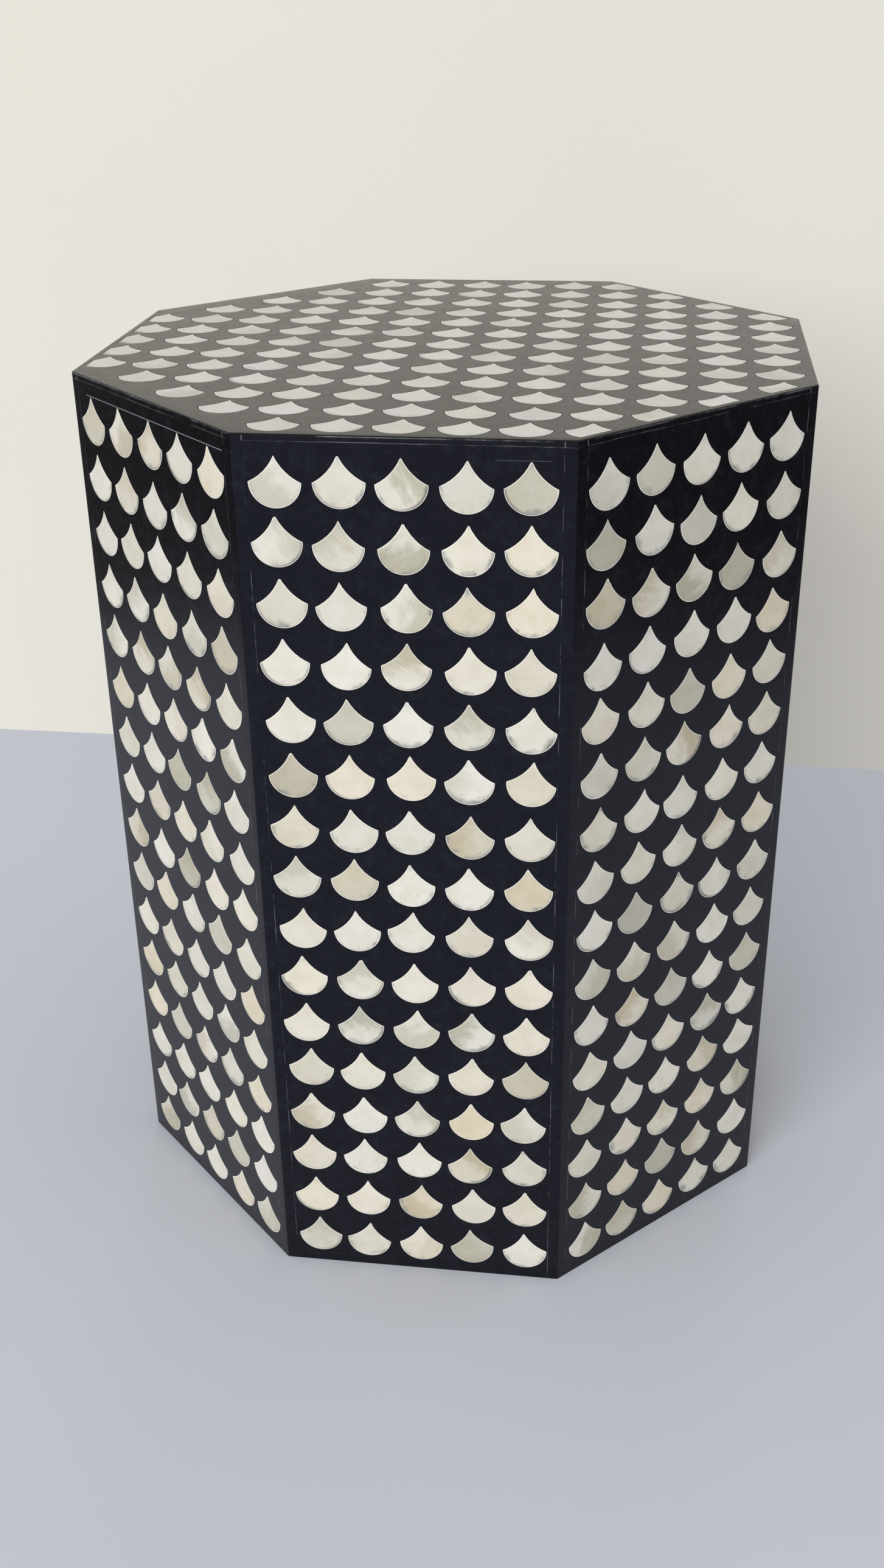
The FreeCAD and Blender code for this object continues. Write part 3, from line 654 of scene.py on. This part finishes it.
def merged_copy(node_name, piece_name):
    """A new piece with the shape of a node of the frame, its loose triangles joined into one skin."""
    bpy.ops.object.select_all(action="DESELECT")
    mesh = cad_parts[node_name].data.copy()
    mesh.name = piece_name
    mesh.materials.clear()
    piece = bpy.data.objects.new(piece_name, mesh)
    bpy.context.scene.collection.objects.link(piece)
    piece.select_set(True)
    bpy.context.view_layer.objects.active = piece
    bpy.ops.mesh.customdata_custom_splitnormals_clear()
    bpy.ops.object.mode_set(mode="EDIT")
    bpy.ops.mesh.select_all(action="SELECT")
    bpy.ops.mesh.remove_doubles(threshold=JOINED_WITHIN)
    bpy.ops.mesh.dissolve_limited(angle_limit=FLAT_WITHIN)
    bpy.ops.object.mode_set(mode="OBJECT")
    return piece


def finish_piece(piece, node_name, material, crease):
    """Smooths a piece up to its creases, gives it its finish, and stands it in for its node."""
    bpy.ops.object.select_all(action="DESELECT")
    piece.select_set(True)
    bpy.context.view_layer.objects.active = piece
    bpy.ops.object.shade_smooth_by_angle(angle=math.radians(crease))
    piece.data.materials.append(material)
    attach(piece, "root")
    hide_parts(node_name)


def ease_scales(piece, out, width):
    """Eases the edge round the face of every scale, with the face itself left where it was."""
    bpy.ops.object.mode_set(mode="EDIT")
    bpy.ops.mesh.select_mode(type="FACE")
    bpy.ops.mesh.select_all(action="DESELECT")
    skin = bmesh.from_edit_mesh(piece.data)
    for face in skin.faces:
        face.select_set(face.normal.dot(out) > FACING_OUT)
    bmesh.update_edit_mesh(piece.data)
    bpy.ops.transform.translate(value=tuple(-EASED_DEPTH * out))
    bpy.ops.mesh.inset(thickness=width, depth=EASED_DEPTH, use_individual=True)
    bpy.ops.mesh.remove_doubles(threshold=TIP_JOIN)
    bpy.ops.object.mode_set(mode="OBJECT")


def separate_scales(mesh):
    """The vertex numbers of each separate scale, in the order of their first vertex."""
    leader = list(range(len(mesh.vertices)))

    def find(index):
        while leader[index] != index:
            leader[index] = leader[leader[index]]
            index = leader[index]
        return index

    for edge in mesh.edges:
        first, second = (find(index) for index in edge.vertices)
        leader[max(first, second)] = min(first, second)
    groups = {}
    for index in range(len(mesh.vertices)):
        groups.setdefault(find(index), []).append(index)
    return list(groups.values())


def mark_scales(piece, across, up, out, seed):
    """Writes on every scale where its points lie from the middle of its round, its own lot, and its eased
    edge."""
    rng = random.Random(seed)
    mesh = piece.data
    place = [0.0] * (3 * len(mesh.vertices))
    chance = [0.0] * (3 * len(mesh.vertices))
    rim = [0.0] * len(mesh.vertices)
    face_level = max(vertex.co.dot(out) for vertex in mesh.vertices)
    for group in separate_scales(mesh):
        lot = [rng.random() for _ in range(3)]
        xs = [mesh.vertices[index].co.dot(across) for index in group]
        ys = [mesh.vertices[index].co.dot(up) for index in group]
        middle_x = (min(xs) + max(xs)) / 2
        middle_y = min(ys) + SCALE_ROUND
        for index, x, y in zip(group, xs, ys):
            place[3 * index:3 * index + 2] = [x - middle_x, y - middle_y]
            chance[3 * index:3 * index + 3] = lot
            below = face_level - mesh.vertices[index].co.dot(out)
            rim[index] = min(1.0, below / EASED_DEPTH)
    mesh.attributes.new("scale_place", "FLOAT_VECTOR", "POINT").data.foreach_set("vector", place)
    mesh.attributes.new("scale_chance", "FLOAT_VECTOR", "POINT").data.foreach_set("vector", chance)
    mesh.attributes.new("scale_rim", "FLOAT", "POINT").data.foreach_set("value", rim)


def mark_wall(piece, across, lot, scribed):
    """Writes on a piece of wall resin where its points lie on the wall, and the line scribed there."""
    mesh = piece.data
    place = []
    for vertex in mesh.vertices:
        place += [vertex.co.dot(across), vertex.co.z, lot]
    lines = list(scribed) * len(mesh.vertices)
    mesh.attributes.new("wall_place", "FLOAT_VECTOR", "POINT").data.foreach_set("vector", place)
    mesh.attributes.new("scribed_line", "FLOAT_VECTOR", "POINT").data.foreach_set("vector", lines)


def bone_on_wall(number, material):
    """The bone scales of one wall, which draw their lots by the wall's number."""
    node_name = f"bone_scales_wall_{number}"
    piece = merged_copy(node_name, f"bone_on_wall_{number}")
    across, out = wall_axes(number)
    ease_scales(piece, out, EASED_WIDTH)
    mark_scales(piece, across, UP, out, number)
    finish_piece(piece, node_name, material, SCALE_CREASE)


def bone_on_top(material):
    """The bone scales of the top, which point away from the front."""
    node_name = "bone_scales_top"
    piece = merged_copy(node_name, "bone_on_top")
    ease_scales(piece, UP, TOP_EASED_WIDTH)
    mark_scales(piece, Vector((1, 0, 0)), Vector((0, 1, 0)), UP, SIDES + 1)
    finish_piece(piece, node_name, material, SCALE_CREASE)


def resin_on_wall(number, material):
    """The sheet of resin on one wall, with a window for every scale."""
    node_name = f"resin_field_{number}"
    piece = merged_copy(node_name, f"resin_on_wall_{number}")
    mark_wall(piece, wall_axes(number)[0], number, SCRIBED.get(number, UNSCRIBED))
    finish_piece(piece, node_name, material, RESIN_CREASE)


def resin_on_corner(number, material):
    """A corner strip is measured across the corner, and the seams beside it are drawn on the fields."""
    node_name = f"corner_strip_{number}"
    piece = merged_copy(node_name, f"resin_on_corner_{number}")
    across = wall_axes(number + 0.5)[0]
    mark_wall(piece, across, number + SIDES, UNSCRIBED)
    finish_piece(piece, node_name, material, RESIN_CREASE)


def resin_on_top(face, edge):
    """The sheet of resin on the top, with one finish on its face and another round its edge."""
    piece = merged_copy("resin_top", "resin_on_top")
    finish_piece(piece, "resin_top", face, RESIN_CREASE)
    piece.data.materials.append(edge)
    for polygon in piece.data.polygons:
        polygon.material_index = 0 if polygon.normal.z > FACING_UP else 1


def inlay():
    """All that shows of the table: bone and resin on every wall, at every corner and on the top."""
    bone = polished_bone("polished_bone_walls", WALL_PAINTED_SHEEN)
    walls = wall_resin()
    for number in range(1, SIDES + 1):
        bone_on_wall(number, bone)
        resin_on_wall(number, walls)
        resin_on_corner(number, walls)
    # The top's bone is a second copy of the bone, with painted sheen.
    bone_on_top(polished_bone("polished_bone_top_painted_sheen", TOP_PAINTED_SHEEN))
    top_face = top_resin("sanded_black_resin_top", TOP_SHINE, TOP_PAINTED_REFLECTION_TINT)
    top_edge = top_resin("sanded_black_resin_edge", WALL_SHINE, WALL_PAINTED_REFLECTION_TINT)
    resin_on_top(top_face, top_edge)


# The studio

FLOOR_SIZE = 14
POOL_START = 0.8
POOL_END = 2.0
FLAG_AT = 0.92
FLAG_SIZE = (1.8, 0.42)
FLAG_BOTTOM = 0.02
BACKDROP_AT = 0.46
BACKDROP_WIDTH = 1.9
BACKDROP_HEIGHT = 2.4
LAMP_DISTANCE = 4.5
FRONT_LAMP = {"turn": math.radians(19), "height": 2.35, "size": (3.7, 2.7), "energy": 152}
LAMP_BEHIND = {"turn": math.radians(180), "height": 1.2, "size": (3.0, 1.6), "energy": 40}


def studio_paint(name, colour, shade):
    """A plain matt paint, faintly uneven."""
    material, tree, shader = new_material(name)
    where = add(tree, "ShaderNodeTexCoord", out="Object")
    patches = add(tree, "ShaderNodeTexNoise", {"Vector": where, "Scale": 1.6, "Detail": 2.0})
    paint = add(tree, "ShaderNodeValToRGB", {"Fac": patches}, stops=[(0.3, shade), (0.7, colour)])
    tree.links.new(paint, shader.inputs["Base Color"])
    shader.inputs["Roughness"].default_value = 0.8
    shader.inputs["Specular IOR Level"].default_value = 0.2
    return material, tree, shader, paint


def upright_sheet(name, location, rotation, scale):
    """A plane of one metre, placed, turned and scaled to size."""
    bpy.ops.object.select_all(action="DESELECT")
    bpy.ops.mesh.primitive_plane_add(size=1, location=location, rotation=rotation)
    sheet = bpy.context.object
    sheet.name = name
    sheet.scale = scale
    bpy.ops.object.transform_apply(location=True, rotation=True, scale=True)
    return sheet


def floor():
    """A pale floor that falls into shade away from the table."""
    bpy.ops.object.select_all(action="DESELECT")
    bpy.ops.mesh.primitive_plane_add(size=FLOOR_SIZE)
    ground = bpy.context.object
    ground.name = "studio_floor"
    material, tree, shader, paint = studio_paint("studio_floor_paint", "#cdd0d8", "#c8cbd3")
    where = add(tree, "ShaderNodeTexCoord", out="Object")
    reach = add(tree, "ShaderNodeVectorMath", {0: where}, out="Value", operation="LENGTH")
    away = add(
        tree, "ShaderNodeMapRange", {"Value": reach, "From Min": POOL_START, "From Max": POOL_END},
        interpolation_type="SMOOTHSTEP",
    )
    shaded = add(tree, "ShaderNodeMix", {0: away, COLOUR_A: paint, COLOUR_B: linear("#a9abb1")}, **BLENDED)
    tree.links.new(shaded, shader.inputs["Base Color"])
    ground.data.materials.append(material)


def backdrop():
    """A cream wall behind the table, there for the camera and for reflections, and clear from behind."""
    place = (0, BACKDROP_AT, BACKDROP_HEIGHT / 2)
    wall = upright_sheet(
        "studio_backdrop", place, (math.pi / 2, 0, 0), (BACKDROP_WIDTH, BACKDROP_HEIGHT, 1),
    )
    material, tree, shader, _ = studio_paint("studio_backdrop_paint", "#efebe1", "#eae6da")
    clear = add(tree, "ShaderNodeBsdfTransparent")
    behind = add(tree, "ShaderNodeNewGeometry", out="Backfacing")
    one_sided = add(tree, "ShaderNodeMixShader", {0: behind, 1: shader.outputs["BSDF"], 2: clear})
    output = tree.nodes["Material Output"]
    tree.links.new(one_sided, output.inputs["Surface"])
    wall.data.materials.append(material)
    wall.visible_diffuse = False
    wall.visible_shadow = False


def flags():
    """A warm grey flag on each side, which only reflections see, to darken the side walls."""
    material = studio_paint("studio_flag_felt", "#6c6664", "#66605e")[0]
    width, height = FLAG_SIZE
    for name, side in (("studio_flag_left", -1), ("studio_flag_right", 1)):
        place = (side * FLAG_AT, 0, FLAG_BOTTOM + height / 2)
        flag = upright_sheet(name, place, (0, math.pi / 2, 0), (height, width, 1))
        flag.data.materials.append(material)
        flag.visible_camera = False
        flag.visible_diffuse = False
        flag.visible_shadow = False


def soft_box(name, turn, height, size, energy):
    """A soft box aimed at the table, turned from straight in front, that leaves no glare in the polish."""
    lamp = bpy.data.lights.new(name, "AREA")
    lamp.shape = "RECTANGLE"
    lamp.size, lamp.size_y = size
    lamp.energy = energy
    box = bpy.data.objects.new(name, lamp)
    bpy.context.scene.collection.objects.link(box)
    box.location = (-LAMP_DISTANCE * math.sin(turn), -LAMP_DISTANCE * math.cos(turn), height)
    aim = Vector((0, 0, TABLE_HEIGHT / 2)) - box.location
    box.rotation_euler = aim.to_track_quat("-Z", "Y").to_euler()
    box.visible_glossy = False


def surround():
    """A pale surround that dims to the horizon."""
    world = bpy.data.worlds.new("studio_surround")
    bpy.context.scene.world = world
    world.use_nodes = True
    tree = world.node_tree
    sky = tree.nodes["Background"]
    sky.inputs["Color"].default_value = linear("#f6f6f7")
    way = add(tree, "ShaderNodeTexCoord", out="Generated")
    upward = add(tree, "ShaderNodeSeparateXYZ", {0: way}, out="Z")
    strength = add(
        tree, "ShaderNodeMapRange", {"Value": upward, "From Max": 0.5, "To Min": 0.5, "To Max": 0.7},
    )
    tree.links.new(strength, sky.inputs["Strength"])


# The camera, fitted to the corners of the table in the photograph. The picture's height and the focal length
# are in pixels, and the sensor is in millimetres.

PHOTO_HEIGHT = 2576
FOCAL_PIXELS = 2690
SENSOR = 36
EYE = Vector((106.7, -840.2, 639.4)) * MM
YAW = math.radians(7.88)
PITCH = math.radians(27.19)
ROLL = math.radians(-0.83)
NEAREST = 0.01


def camera():
    """The photograph's own view: a little to the right of the table, looking down on it."""
    lens = bpy.data.cameras.new("photo_view")
    lens.sensor_fit = "VERTICAL"
    lens.sensor_height = SENSOR
    lens.lens = FOCAL_PIXELS / PHOTO_HEIGHT * SENSOR
    lens.clip_start = NEAREST
    view = bpy.data.objects.new("photo_view", lens)
    bpy.context.scene.collection.objects.link(view)
    turn = Matrix.Rotation(YAW, 4, "Z")
    tilt = Matrix.Rotation(math.pi / 2 - PITCH, 4, "X")
    roll = Matrix.Rotation(ROLL, 4, "Z")
    view.matrix_world = Matrix.Translation(EYE) @ turn @ tilt @ roll
    bpy.context.scene.camera = view


inlay()
carcass()
floor()
backdrop()
flags()
soft_box("soft_box_front", **FRONT_LAMP)
soft_box("soft_box_behind", **LAMP_BEHIND)
surround()
camera()
bpy.context.scene.view_settings.view_transform = "Standard"
